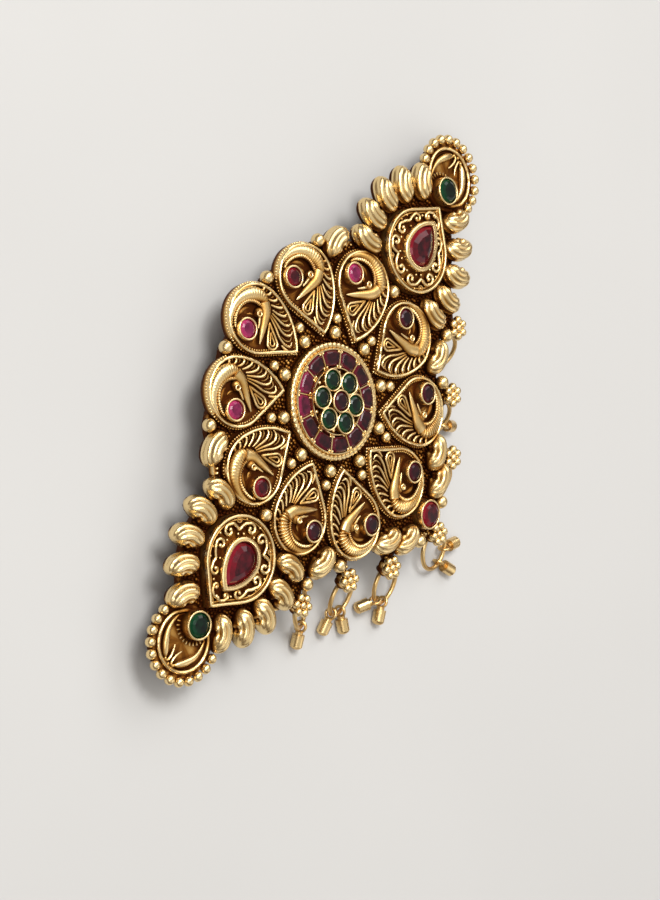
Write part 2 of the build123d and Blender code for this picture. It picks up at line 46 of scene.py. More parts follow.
# Jewelled hair clip in gilt metal. All sizes below are millimetres in the solid model's frame.

# the two arcs of the backing plate
dome = {"longRadius": 417.0, "crossRadius": 200.0, "apex": 7.8, "plate": 1.0}


def unit(rows):  # each row divided by its length
    rows = np.asarray(rows, float)
    return rows / np.maximum(np.linalg.norm(rows, axis=-1, keepdims=True), 1e-12)


def domeHeight(x, y):  # apex less the drop of an arc across, carried round an arc along
    across = dome["longRadius"] - dome["crossRadius"] + np.sqrt(dome["crossRadius"] ** 2 - y * y)
    return dome["apex"] - dome["longRadius"] + np.sqrt(across ** 2 - x * x)


def seat(x, y, turn=0.0):  # origin and three axes of a plane that touches the dome at (x, y)
    section = math.sqrt(dome["crossRadius"] ** 2 - y * y)
    across = dome["longRadius"] - dome["crossRadius"] + section
    reach = math.sqrt(across ** 2 - x * x)
    slopeX, slopeY = -x / reach, -across * y / section / reach
    c, s = math.cos(math.radians(turn)), math.sin(math.radians(turn))
    along = unit([c, s, slopeX * c + slopeY * s])
    normal = unit([-slopeX, -slopeY, 1])
    return np.array([x, y, domeHeight(x, y)]), np.array([along, np.cross(normal, along), normal])


def placed(shape, where):  # local points times the seat's axes, plus its origin
    origin, axes = where
    return shape[0] @ axes + origin, shape[1]


def shifted(shape, x, y, z, turn=0.0):  # turned about z, then moved
    c, s = math.cos(math.radians(turn)), math.sin(math.radians(turn))
    return shape[0] @ np.array([[c, s, 0], [-s, c, 0], [0, 0, 1]]) + np.array([x, y, z]), shape[1]


def mirrored(shape):  # y changes sign, and each face is turned round so that it still looks out
    return shape[0] * [1, -1, 1], shape[1][:, ::-1]


def joined(shapes):  # several shapes as one list of points and one of faces
    starts = np.cumsum([0] + [len(s[0]) for s in shapes[:-1]])
    return np.concatenate([s[0] for s in shapes]), np.concatenate([s[1] + n for s, n in zip(shapes, starts)])


def surface(points, wrapRows=False, wrapCols=True, poles=(False, False)):
    # a grid of points as faces; a wrapped direction meets itself, and a pole is one shared point
    rows, cols = points.shape[:2]
    index = np.arange(rows * cols).reshape(rows, cols)
    if poles[0]:
        index[0] = index[0, 0]
    if poles[1]:
        index[-1] = index[-1, 0]
    if wrapRows:
        index = np.vstack([index, index[:1]])
    if wrapCols:
        index = np.hstack([index, index[:, :1]])
    faces = np.stack([index[:-1, :-1], index[:-1, 1:], index[1:, 1:], index[1:, :-1]], -1)
    return points.reshape(-1, 3), faces.reshape(-1, 4)


def circle(count, start=0.0):  # angles spread evenly round a turn
    return math.radians(start) + np.linspace(0, 2 * np.pi, count, endpoint=False)


def tube(path, radius, sides=8, closed=False, flat=1.0):
    # path point + radius x (cos a across + flat sin a up), with a going round the section
    path = np.asarray(path, float)
    radius = np.broadcast_to(np.asarray(radius, float), (len(path),))
    ahead = np.roll(path, -1, 0) - np.roll(path, 1, 0) if closed else np.gradient(path, axis=0)
    tangent = unit(ahead)
    across = unit(np.cross([0, 0, 1], tangent))
    up = np.cross(tangent, across)
    a = circle(sides)[None, :, None]
    section = np.cos(a) * across[:, None] + flat * np.sin(a) * up[:, None]
    rings = path[:, None] + radius[:, None, None] * section
    if closed:
        return surface(rings, wrapRows=True)
    ends = [path[0] - tangent[0] * radius[0] * 0.7, path[-1] + tangent[-1] * radius[-1] * 0.7]
    first, last = (np.repeat(end[None, None], sides, 1) for end in ends)
    return surface(np.concatenate([first, rings, last]), poles=(True, True))


def spaced(path, step, closed=False):  # the same line with its points an equal way apart
    path = np.asarray(path, float)
    line = np.vstack([path, path[:1]]) if closed else path
    run = np.concatenate([[0], np.cumsum(np.linalg.norm(np.diff(line, axis=0), axis=1))])
    count = max(int(round(run[-1] / step)), 3)
    at = np.linspace(0, run[-1], count + 1)
    even = np.stack([np.interp(at, run, line[:, k]) for k in range(3)], 1)
    return even[:-1] if closed else even


def ball(rows=8, cols=10):  # unit sphere by latitude and longitude
    lat = np.linspace(-np.pi / 2, np.pi / 2, rows)[:, None]
    lon = circle(cols)[None]
    grid = np.stack([np.cos(lat) * np.cos(lon), np.cos(lat) * np.sin(lon), np.sin(lat) + 0 * lon], -1)
    return surface(grid, poles=(True, True))


def balls(centres, radius, rows=8, cols=10):  # one sphere at each centre
    points, faces = ball(rows, cols)
    centres = np.asarray(centres, float)
    radius = np.broadcast_to(np.asarray(radius, float), (len(centres),))
    many = centres[:, None] + radius[:, None, None] * points[None]
    starts = (np.arange(len(centres)) * len(points))[:, None, None]
    return many.reshape(-1, 3), (faces[None] + starts).reshape(-1, 4)


def turned(profile, cols=48):  # a profile of (radius, height) turned about z; radius 0 at an end is a pole
    profile = np.asarray(profile, float)
    a = circle(cols)[None]
    r, z = profile[:, :1], profile[:, 1:]
    grid = np.stack([r * np.cos(a), r * np.sin(a), z + 0 * a], -1)
    return surface(grid, poles=(profile[0, 0] == 0, profile[-1, 0] == 0))


def ringWire(reach, wire, height, cols=64, sides=8):  # torus about z
    a = circle(cols)
    return tube(np.stack([reach * np.cos(a), reach * np.sin(a), height + 0 * a], 1), wire, sides, closed=True)


def teardrop(radius, tip, grow=0.0, arcPoints=40, linePoints=16):
    # round end about the origin, straight lines that leave it as tangents and meet at -tip on x
    roundEnd = radius + grow
    point = tip * roundEnd / radius
    spread = math.pi - math.acos(roundEnd / point)
    a = np.linspace(-spread, spread, arcPoints)
    arc = np.stack([roundEnd * np.cos(a), roundEnd * np.sin(a), 0 * a], 1)
    share = np.linspace(0, 1, linePoints, endpoint=False)[:, None]
    tipPoint = np.array([-point, 0, 0])
    return np.vstack([tipPoint + (arc[0] - tipPoint) * share, arc,
                      (arc[-1] + (tipPoint - arc[-1]) * share)[1:]])


def cushion(outlineAt, rows):
    # rows of (grow, height): each is the outline grown by that much at that height, closed at both ends
    rings = [outlineAt(grow) + [0, 0, height] for grow, height in rows]
    first, last = (np.repeat(ring.mean(0)[None], len(ring), 0) for ring in (rings[0], rings[-1]))
    return surface(np.stack([first] + rings + [last]), poles=(True, True))


def ringOf(count, reach, start=0.0):  # places spread evenly round a circle, and the way each looks out
    turns = [start + 360 * k / count for k in range(count)]
    return [(reach * math.cos(math.radians(t)), reach * math.sin(math.radians(t)), t) for t in turns]


def smoothLine(points, count):  # a curve through points: cubic pieces whose slopes come from the neighbours
    points = np.asarray(points, float)
    slope = np.gradient(points, axis=0)
    at = np.linspace(0, len(points) - 1 - 1e-9, count)
    k = at.astype(int)
    t = (at - k)[:, None]
    a, b, m, n = points[k], points[k + 1], slope[k], slope[k + 1]
    return ((2 * t**3 - 3 * t**2 + 1) * a + (t**3 - 2 * t**2 + t) * m
            + (3 * t**2 - 2 * t**3) * b + (t**3 - t**2) * n)


def raised(path, height):  # a level path at a height
    return np.column_stack([path, np.broadcast_to(height, (len(path),))])


def milled(path, radius, pitch, depth, sides=8, closed=False, flat=1.0):
    # a wire cut with ticks: radius x (1 + depth sin of the run along it, one wave in each pitch)
    line = spaced(path, pitch / 6, closed)
    wave = np.sin(2 * np.pi * np.arange(len(line)) / 6)
    return tube(line, radius * (1 + depth * wave), sides, closed, flat)


def beadLine(path, radius, pitch, closed=False):  # small balls an equal way apart along a line
    return balls(spaced(path, pitch, closed), radius, 6, 8)


def bar(start, end, width, bottom, top):  # straight wall on two ground points, its upper edges rounded
    start, end = np.array([*start, 0.0]), np.array([*end, 0.0])
    side = np.cross([0, 0, 1], unit(end - start)) * width / 2
    profile = [(1, bottom), (1, top - width * 0.3), (0.5, top), (-0.5, top), (-1, top - width * 0.3),
               (-1, bottom)]
    rings = np.array([[at + side * w + [0, 0, z] for w, z in profile] for at in (start, end)])
    caps = rings.mean(1)[:, None].repeat(len(profile), 1)
    return surface(np.concatenate([caps[:1], rings, caps[1:]]), poles=(True, True))


def spiral(centre, radius, leave, turn, count=26):
    # from the rim at one angle in to the middle: radius shrinks as it turns by that many degrees
    share = np.linspace(0, 1, count)[:, None]
    a = np.radians(leave + turn * share)
    return np.array(centre) + radius * (1 - 0.72 * share) * np.hstack([np.cos(a), np.sin(a)])


goldPieces = []  # objects that get worn highs, and hollows darkened by patina and painted shade
goldFaces = []  # corner points of all their faces, for the height map


def makePiece(name, shapes, sharp=45.0):
    points, faces = joined(shapes)
    goldFaces.append(points[faces])
    first, last = faces[:, 0] == faces[:, 1], faces[:, 2] == faces[:, 3]
    threes = np.concatenate([faces[first & ~last][:, [0, 2, 3]], faces[last & ~first][:, :3]])
    fours = faces[~(first | last)]
    corners = np.concatenate([fours.ravel(), threes.ravel()])
    used, corners = np.unique(corners, return_inverse=True)
    starts = np.concatenate([np.arange(len(fours)) * 4, len(fours) * 4 + np.arange(len(threes)) * 3])
    mesh = bpy.data.meshes.new(name)
    mesh.vertices.add(len(used))
    mesh.vertices.foreach_set("co", (points[used] * millimetre).astype(np.float32).ravel())
    mesh.loops.add(len(corners))
    mesh.loops.foreach_set("vertex_index", corners.astype(np.int32).ravel())
    mesh.polygons.add(len(starts))
    mesh.polygons.foreach_set("loop_start", starts.astype(np.int32))
    mesh.update(calc_edges=True)
    mesh.validate()
    mesh.shade_smooth()
    mesh.set_sharp_from_angle(angle=math.radians(sharp))
    piece = bpy.data.objects.new(name, mesh)
    bpy.context.scene.collection.objects.link(piece)
    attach(piece, "root")
    goldPieces.append(piece)
    return piece


# Places shared with the solid model
petals = {"count": 10, "seat": 19.5, "middle": (0.1, -0.3), "radius": 5.65, "sideRadius": 11.2, "lean": 41.6,
          "stone": (0.97, 2.6)}
rosette = {"radius": 9.2, "cells": 12, "cellOuter": 8.0, "cellInner": 5.35, "cellFloor": 0.85, "cellWall": 0.3,
           "wallTop": 1.8, "borderTop": 1.6, "drumFloor": 1.6, "ringTop": 2.15, "ringWall": 0.25, "cupTop": 2.6,
           "centreTop": 3.1, "cupDepth": 0.9, "cupWall": 0.18, "stone": 1.47, "flowerReach": 3.55}
medallion = {"seat": 31.0, "radius": 6.9, "tip": 9.45, "top": 1.8, "pearRadius": 2.6, "pearTip": 5.1,
             "collarWall": 0.8, "collarTop": 2.65, "collarDepth": 1.3}
endDisc = {"seat": 46.8, "radius": 5.85, "top": 0.8, "bead": 0.82, "beads": 13, "beadStep": 17.0,
           "stoneBack": 3.15}
sideBeans = [(20.8, 14.2, -8.0), (25.4, 9.1, 92.0), (29.6, 10.3, 82.0), (34.2, 9.9, 64.0), (38.2, 7.9, 45.0),
             (41.6, 4.9, 34.0)]
cornerBeans = [(9.0, -23.6, 204.0), (6.0, -27.1, 192.0)]
rimGranules = [(7.0, 21.5), (18.6, 16.9), (22.5, 0.0), (25.2, -13.8), (18.6, -17.6), (4.0, -29.8)]
hangingFlowers = [(28.1, -15.4, -140.0), (18.8, -21.0, -140.0), (11.2, -27.5, -140.0), (0.0, -33.0, -95.0),
                  (-11.2, -27.5, -98.0), (-18.8, -21.0, -100.0), (-28.1, -15.4, -60.0)]
stones = {"small": 1.42, "green": 1.9, "corner": 2.0, "play": 0.06, "collar": 0.36, "collarTop": 2.3,
          "collarFloor": 1.35, "cornerY": -27.9}
petalPlaces = ringOf(petals["count"], petals["seat"], 180 / petals["count"])
middle = (np.array([0, 0, dome["apex"]]), np.eye(3))
medallionSeats = [seat(side * medallion["seat"], 0, turn) for side, turn in ((1, 180), (-1, 0))]
endSeats = [seat(side * endDisc["seat"], 0, turn) for side, turn in ((1, 0), (-1, 180))]


def petalOutline(grow, count=(60, 60, 30)):
    # a full side, then a round end, then a straight side back to the tip; all moved out by grow
    lean, radius, side = math.radians(petals["lean"]), petals["radius"] + grow, petals["sideRadius"] + grow
    middle = np.array(petals["middle"])
    way, out = np.array([math.cos(lean), math.sin(lean)]), np.array([-math.sin(lean), math.cos(lean)])
    sideMiddle = middle + [0, petals["sideRadius"] - petals["radius"]]
    touch = middle + out * radius
    off = touch - sideMiddle
    back = off @ way
    tip = touch - way * (back + math.sqrt(back ** 2 - off @ off + side ** 2))
    first = np.linspace(math.atan2(*(tip - sideMiddle)[::-1]) % (2 * np.pi), 1.5 * np.pi, count[0],
                        endpoint=False)
    second = np.linspace(-np.pi / 2, np.pi / 2 + lean, count[1], endpoint=False)
    share = np.linspace(0, 1, count[2], endpoint=False)[:, None]
    line = np.vstack([sideMiddle + side * np.stack([np.cos(first), np.sin(first)], 1),
                      middle + radius * np.stack([np.cos(second), np.sin(second)], 1),
                      touch + (tip - touch) * share])
    return np.column_stack([line, np.zeros(len(line))])


def medallionOutline(grow):
    return teardrop(medallion["radius"], medallion["tip"], grow, 60, 12)


def pearOutline(grow):
    # a round end, and two arcs that leave it sideways and meet at the tip; all moved out by grow
    radius, tip = medallion["pearRadius"], medallion["pearTip"]
    side = (tip ** 2 + radius ** 2) / (2 * radius)
    inset, grown = side - radius, side + grow
    a = np.linspace(math.acos(inset / grown), 0, 20, endpoint=False)
    full = np.stack([-grown * np.sin(a), inset - grown * np.cos(a)], 1)
    a = np.linspace(-np.pi / 2, np.pi / 2, 30)
    line = np.vstack([full, (radius + grow) * np.stack([np.cos(a), np.sin(a)], 1), (full * [1, -1])[:0:-1]])
    return np.column_stack([line, np.zeros(len(line))])


def edgePath(outline, grow, height, step=0.3):  # closed line along an outline, moved in or out and raised
    return raised(spaced(outline(grow), step, True)[:, :2], height)


# Backing plate with fine granulation on the ground between the motifs
plate = {"radialSteps": 40, "angleSteps": 480, "grain": 0.3, "pitch": 0.66, "edgeRoom": 0.5, "sunk": 0.13,
         "notch": (11.46, -15.78)}


def edgeReach(angles):  # how far the outline lies from the middle in each direction
    rim = endDisc["radius"] - endDisc["bead"]
    beanSpots, flowerSpots = [spot[:2] for spot in sideBeans], [spot[:2] for spot in hangingFlowers]
    upper = rimGranules[:2] + beanSpots + [(endDisc["seat"], rim), (endDisc["seat"] + rim, 0)]
    lower = [(endDisc["seat"], -rim)] + [(x, -y) for x, y in beanSpots[:2:-1]]
    lower += [flowerSpots[0], rimGranules[3], (beanSpots[0][0], -beanSpots[0][1]), rimGranules[4],
              flowerSpots[1], plate["notch"], cornerBeans[0][:2], flowerSpots[2], cornerBeans[1][:2],
              rimGranules[5], flowerSpots[3]]
    right = np.array(upper + lower)
    outline = np.vstack([right, (right * [-1, 1])[::-1][1:]])
    line = np.vstack([outline, outline[:1]])
    way = np.stack([np.cos(angles), np.sin(angles)], 1)
    a, b = line[:-1], line[1:] - line[:-1]
    cross = way[:, None, 0] * b[None, :, 1] - way[:, None, 1] * b[None, :, 0]
    cross = np.where(np.abs(cross) < 1e-9, 1e-9, cross)
    far = (a[None, :, 0] * b[None, :, 1] - a[None, :, 1] * b[None, :, 0]) / cross
    along = (a[None, :, 0] * way[:, None, 1] - a[None, :, 1] * way[:, None, 0]) / cross
    return np.where((along >= -1e-6) & (along <= 1 + 1e-6) & (far > 0), far, 0).max(1)


def onPlate(x, y, room=0.0):  # whether ground points lie inside the outline, clear of its edge by a room
    table = circle(plate["angleSteps"])
    reach = edgeReach(table)
    return np.hypot(x, y) < np.interp(np.arctan2(y, x) % (2 * np.pi), table, reach, period=2 * np.pi) - room


def insideTeardrop(x, y, place, radius, tip, grow):
    # inside the round end, or between the two tangents and short of where they touch it
    px, py, turn = place
    c, s = math.cos(math.radians(turn)), math.sin(math.radians(turn))
    u, v = (x - px) * c + (y - py) * s, (y - py) * c - (x - px) * s
    size, point = radius + grow, tip * (radius + grow) / radius
    slope = math.tan(math.asin(radius / tip))
    return (np.hypot(u, v) < size) | ((np.abs(v) < (u + point) * slope) & (u < -size * size / point))


def insidePetal(x, y, place, grow):
    # inside the full side's circle and the straight side, and inside the round end ahead of their ends
    px, py, turn = place
    c, s, lean = math.cos(math.radians(turn)), math.sin(math.radians(turn)), math.radians(petals["lean"])
    u = (x - px) * c + (y - py) * s - petals["middle"][0]
    v = (y - py) * c - (x - px) * s - petals["middle"][1]
    radius, side = petals["radius"] + grow, petals["sideRadius"] + grow
    behind = (u < 0) & (u * math.cos(lean) + v * math.sin(lean) < 0)
    full = np.hypot(u, v - petals["sideRadius"] + petals["radius"]) < side
    return full & (v * math.cos(lean) - u * math.sin(lean) < radius) & (behind | (np.hypot(u, v) < radius))


def groundGrains():
    # rows of grains half a pitch apart in turn, left out where a motif stands
    pitch = plate["pitch"]
    gx, gy = np.meshgrid(np.arange(-50, 50, pitch), np.arange(-34, 22, pitch * 0.87))
    gx = gx + (np.arange(gx.shape[0]) % 2)[:, None] * pitch / 2
    gx, gy = gx.ravel() + 0.12 * np.sin(5.1 * gy.ravel()), gy.ravel() + 0.12 * np.sin(4.3 * gx.ravel())
    free = onPlate(gx, gy, plate["edgeRoom"]) & (np.hypot(gx, gy) > rosette["radius"])
    for place in petalPlaces:
        free &= ~insidePetal(gx, gy, place, 0.3)
    for side, turn in ((1, 180), (-1, 0)):
        free &= ~insideTeardrop(gx, gy, (side * medallion["seat"], 0, turn), medallion["radius"],
                                medallion["tip"], 0.1)
        free &= np.hypot(gx - side * endDisc["seat"], gy) > endDisc["radius"]
    gx, gy = gx[free], gy[free]
    size = plate["grain"] * (1 + 0.2 * np.sin(7.7 * gx + 3.1 * gy))
    return balls(np.stack([gx, gy, domeHeight(gx, gy) + plate["sunk"]], 1), size, 5, 7)


angles = circle(plate["angleSteps"])
reach = edgeReach(angles)
share = np.linspace(0, 1, plate["radialSteps"])[:, None]
x, y = share * reach * np.cos(angles), share * reach * np.sin(angles)
upperFace = np.stack([x, y, domeHeight(x, y)], -1)[::-1]
lowerFace = np.stack([x, y, domeHeight(x, y) - dome["plate"]], -1)
makePiece("backing_plate", [surface(np.concatenate([lowerFace, upperFace]), poles=(True, True))])
makePiece("plate_granulation", [groundGrains()])
print("backing plate made")

# Rosette: a round tray with walled cells, and a flower of cups on a drum
rosetteRim = {"band": 0.46, "bandFlat": 0.5, "tick": 0.9, "tickDepth": 0.16, "lip": 0.17, "prong": 0.24,
              "betweenCups": 0.36, "betweenReach": (2.05, 4.55), "cellWallOut": 0.35}


def cup(stoneRadius, wall, floorHeight, topHeight, footHeight, cols=40):
    # collar of a round stone: outside up, over a rounded lip, and down to the floor that the stone lies on
    inner = stoneRadius + stones["play"]
    outer = inner + wall
    lip = wall / 2
    over = [(inner + lip + lip * math.cos(t), topHeight - lip + lip * math.sin(t))
            for t in np.linspace(0, np.pi, 7)]
    return turned([(0, footHeight), (outer, footHeight)] + over + [(inner, floorHeight), (0, floorHeight)],
                  cols)


def collared(stone, foot=0.2):  # the plain collar of one of the stones
    return cup(stones[stone], stones["collar"], stones["collarFloor"], stones["collarTop"], foot)


r = rosette
ringOut = r["cellOuter"] + rosetteRim["cellWallOut"]
tray = turned([(0, -0.7), (r["radius"] - 0.1, -0.7), (r["radius"], 0.0), (r["radius"], r["borderTop"] - 0.5),
               (r["radius"] - 0.12, r["borderTop"] - 0.3), (ringOut + 0.12, r["borderTop"] - 0.35),
               (ringOut + 0.02, r["borderTop"] - 0.5), (ringOut, r["wallTop"] - 0.12),
               (ringOut - 0.1, r["wallTop"]), (r["cellOuter"] + 0.1, r["wallTop"]),
               (r["cellOuter"], r["wallTop"] - 0.1), (r["cellOuter"], r["cellFloor"]),
               (r["cellInner"], r["cellFloor"]), (r["cellInner"], r["ringTop"] - 0.1),
               (r["cellInner"] - 0.06, r["ringTop"]), (r["cellInner"] - r["ringWall"] + 0.06, r["ringTop"]),
               (r["cellInner"] - r["ringWall"], r["ringTop"] - 0.1),
               (r["cellInner"] - r["ringWall"], r["drumFloor"] - 0.25), (0, r["drumFloor"] - 0.25)], 120)
walls, prongs = [], []
for px, py, turn in ringOf(r["cells"], 1.0):
    walls.append(bar((px * (r["cellInner"] - 0.1), py * (r["cellInner"] - 0.1)),
                     (px * (r["cellOuter"] + 0.1), py * (r["cellOuter"] + 0.1)), r["cellWall"], r["cellFloor"],
                     r["wallTop"]))
    for far, off in ((r["cellOuter"] - 0.18, 2.6), (r["cellInner"] + 0.22, 3.6)):
        for lean in (-off, off):
            a = math.radians(turn + lean)
            prongs.append((far * math.cos(a), far * math.sin(a), r["wallTop"] - 0.22))
cups = [joined([cup(r["stone"], r["cupWall"], top - r["cupDepth"], top, r["drumFloor"] - 0.3),
                ringWire(r["stone"] + stones["play"] + rosetteRim["lip"], rosetteRim["lip"], top - 0.1, 40)])
        for top in (r["centreTop"], r["cupTop"])]
cups = [cups[0]] + [shifted(cups[1], px, py, 0) for px, py, turn in ringOf(6, r["flowerReach"])]
between = [(px, py, r["drumFloor"] + 0.1) for far in rosetteRim["betweenReach"]
           for px, py, turn in ringOf(6, far, 30)]
around, bandReach = circle(540), r["radius"] - rosetteRim["band"]
bandPath = raised(bandReach * np.stack([np.cos(around), np.sin(around)], 1), r["borderTop"] - 0.3)
band = milled(bandPath, rosetteRim["band"], rosetteRim["tick"], rosetteRim["tickDepth"], 10, True,
              rosetteRim["bandFlat"])
makePiece("rosette_tray", [placed(s, middle)
                           for s in [tray] + walls + [balls(prongs, rosetteRim["prong"], 6, 8)]])
makePiece("rosette_cups", [placed(s, middle) for s in cups + [balls(between, rosetteRim["betweenCups"])]])
makePiece("rosette_milled_rim", [placed(band, middle)])
print("rosette made")

# Petals: a bird's neck round the outer end, its beak across the middle, a loop and a fan of hooked ribs
petalForm = {"floor": 0.88, "rimTop": 1.3, "wire": 0.27, "bead": 0.2, "beadPitch": 0.46, "outerBead": 0.2}
bird = {"body": ((0.4, -3.4, 0.75), (1.6, -3.5, 1.0), (2.9, -2.9, 1.1), (4.0, -1.7, 0.95), (4.6, -0.1, 0.72),
                 (4.55, 1.5, 0.52), (4.0, 2.9, 0.36), (3.1, 4.0, 0.16)),
        "band": ((0.7, -2.3, 0.3), (1.9, -2.15, 0.32), (3.0, -1.5, 0.33), (3.75, -0.3, 0.34), (3.85, 1.2, 0.3),
                 (3.45, 2.6, 0.26), (2.7, 3.6, 0.16)),
        "beak": ((0.5, -3.1, 1.1), (-0.5, -2.15, 1.02), (-1.2, -0.8, 0.8), (-1.75, 0.5, 0.56),
                 (-2.2, 1.6, 0.36), (-2.6, 2.6, 0.1)),
        "jaw": ((0.1, -0.9, 0.3), (-0.45, 0.0, 0.24), (-0.9, 0.9, 0.1)),
        "tongue": ((-1.0, 1.0, 0.12), (-1.4, 2.0, 0.16), (-1.7, 3.1, 0.1)),
        "lump": ((1.5, -1.1, 0.14), (2.5, -0.5, 0.38), (3.0, 0.7, 0.46), (2.85, 1.9, 0.2)),
        "crest": ((0.8, -0.4, 0.2), (1.4, -0.2, 0.2), (1.9, 0.3, 0.1)),
        "smallHeights": {"jaw": 1.5, "tongue": 0.85, "lump": 0.75, "crest": 1.0},
        "height": 1.2, "flat": 0.8, "comb": 0.12, "faintComb": 0.02, "plainSwell": 1.14, "combStep": 0.46,
        "tick": 0.34, "tickDepth": 0.22, "bandRun": 7.5, "head": (0.3, -1.3), "headSize": 0.95,
        "eye": (0.48, -0.85), "eyeReach": 0.4, "eyeWire": 0.16, "eyeHeight": 1.95}
# long ribs from the tip's side round to the full side, each from its root to its hooked end
fan = {"ribs": (((-1.5, -2.25), (-3.4, -1.5), (-5.0, -0.7), (-6.5, -0.45), (-7.35, -0.85), (-7.3, -1.6)),
                ((-1.7, -2.5), (-3.2, -2.15), (-4.7, -1.75), (-5.8, -1.8), (-6.45, -2.4), (-6.4, -3.1)),
                ((-1.7, -2.85), (-3.2, -2.8), (-4.4, -2.85), (-5.25, -3.3), (-5.5, -3.95)),
                ((-1.5, -3.3), (-2.8, -3.5), (-3.8, -4.0), (-4.05, -4.7)),
                ((-0.8, -3.75), (-1.9, -4.2), (-2.6, -4.7), (-2.7, -5.15)),
                ((0.2, -4.1), (-0.7, -4.5), (-1.15, -5.0), (-1.1, -5.4)),
                ((1.1, -4.3), (0.55, -4.7), (0.35, -5.15), (0.5, -5.45)),
                ((2.0, -4.3), (1.75, -4.7), (1.75, -5.1), (1.95, -5.3))),
       "thick": ((0, 0.14), (0.3, 0.22), (0.75, 0.25), (1, 0.1)), "height": 1.28, "between": 0.14,
       "betweenFrom": 0.45, "leaf": ((-6.0, 0.05, 0.14), (-7.3, 0.1, 0.3), (-8.4, -0.35, 0.16)),
       "loop": (-4.4, 1.0), "loopTurn": 135.0, "loopSizes": ((0.95, 3.2, 0.23), (0.42, 1.7, 0.16)), "dot": 0.22,
       "dotHeight": 0.95, "dots": ((-7.6, 0.35), (-6.6, 0.65), (-8.2, -1.4), (-7.3, -2.6), (-6.3, -3.75),
                                   (-3.2, 3.3), (-2.6, 3.8), (4.0, -3.9), (3.3, -4.5))}


def tapered(knots, height, count=60, sides=12, flat=1.0):  # knots of (along, across, radius)
    line = smoothLine(knots, count)
    return tube(raised(line[:, :2], height), line[:, 2], sides, flat=flat)


def petalBase():
    floor, top = petalForm["floor"], petalForm["rimTop"]
    return cushion(petalOutline, [(-0.05, -0.6), (0, -0.3), (0, top - 0.25), (-0.08, top - 0.05),
                                  (-0.3, top + 0.02), (-0.5, top - 0.08), (-0.62, floor + 0.1), (-0.75, floor),
                                  (-1.5, floor), (-2.4, floor + 0.05), (-3.4, floor + 0.1),
                                  (-4.4, floor + 0.1)])


def petalRim():
    top = petalForm["rimTop"]
    inner = petalOutline(-0.72)
    straight = inner[inner[:, 1] > 0.2 - 0.25 * inner[:, 0]]
    return joined([tube(edgePath(petalOutline, -0.29, top + 0.02), petalForm["wire"], 8, True),
                   beadLine(raised(straight[:, :2], top - 0.16), petalForm["bead"], petalForm["beadPitch"]),
                   beadLine(edgePath(petalOutline, 0.05, top - 0.5), petalForm["outerBead"], 0.5, True)])


def petalBird(comb, swell):
    b = bird
    body = smoothLine(np.array(b["body"]) * [1, 1, swell], 300)
    run = np.concatenate([[0], np.cumsum(np.linalg.norm(np.diff(body[:, :2], axis=0), axis=1))])
    fade = np.clip(1.4 - run / run[-1] * 1.6, 0, 1)
    fat = body[:, 2] * (1 + comb * fade * np.sin(2 * np.pi * run / b["combStep"]))
    neck = tube(raised(body[:, :2], b["height"]), fat, 16, flat=b["flat"])
    bandLine = smoothLine(b["band"], 200)
    wave = 1 + b["tickDepth"] * np.sin(2 * np.pi * np.arange(200) / 200 * b["bandRun"] / b["tick"])
    band = tube(raised(bandLine[:, :2], b["height"] + 0.32), bandLine[:, 2] * wave, 8)
    beak = tapered(b["beak"], b["height"] + 0.05, 60, 16, b["flat"])
    head = balls([(*b["head"], b["height"] - 0.25)], b["headSize"], 12, 16)
    eye = shifted(ringWire(b["eyeReach"], b["eyeWire"], 0, 24, 8), *b["eye"], b["eyeHeight"])
    socket = turned([(0, 0.9), (0.5, 0.9), (0.46, b["eyeHeight"] - 0.05), (0.3, b["eyeHeight"] - 0.14),
                     (0, b["eyeHeight"] - 0.4)], 20)
    small = [tapered(b[name], height, 30, 8) for name, height in b["smallHeights"].items()]
    return joined([neck, band, beak, head, eye, shifted(socket, *b["eye"], 0)] + small)


def petalRibs():
    f = fan
    at, fat = np.array(f["thick"]).T
    lines = [smoothLine(knots, 60) for knots in f["ribs"]]
    made = [tube(raised(line, f["height"]), np.interp(np.linspace(0, 1, 60), at, fat), 8) for line in lines]
    for a, b in zip(lines[:-1], lines[1:]):
        line = (0.52 * a + 0.48 * b)[int(60 * f["betweenFrom"]):]
        thin = np.interp(np.linspace(0, 1, len(line)), (0, 0.5, 1), (0.06, f["between"], 0.08))
        made.append(tube(raised(line, f["height"] - 0.16), thin, 6))
    made.append(tapered(f["leaf"], f["height"] - 0.05, 30, 10))
    c, s = math.cos(math.radians(f["loopTurn"])), math.sin(math.radians(f["loopTurn"]))
    for radius, tip, wire in f["loopSizes"]:
        loop = teardrop(radius, tip, 0, 24, 12)
        path = loop[:, :2] @ np.array([[c, s], [-s, c]]) + f["loop"]
        made.append(tube(raised(path, f["height"] + 0.02), wire, 8, True))
    made.append(balls(raised(np.array(f["dots"]), f["dotHeight"]), f["dot"], 6, 8))
    return joined(made)


petalCup = shifted(collared("small"), *petals["stone"], 0)
combed, plain = petalBird(bird["comb"], 1.0), petalBird(bird["faintComb"], bird["plainSwell"])
for name, shape in (("petal_bases", petalBase()), ("petal_rims", petalRim()), ("petal_ribs", petalRibs()),
                    ("petal_cups", petalCup)):
    makePiece(name, [placed(shape, seat(px, py, turn)) for px, py, turn in petalPlaces])
# the necks of the lower petals are combed
birds = [placed(combed if 190 < turn < 310 else plain, seat(px, py, turn)) for px, py, turn in petalPlaces]
makePiece("petal_birds", birds)
print("petals made")

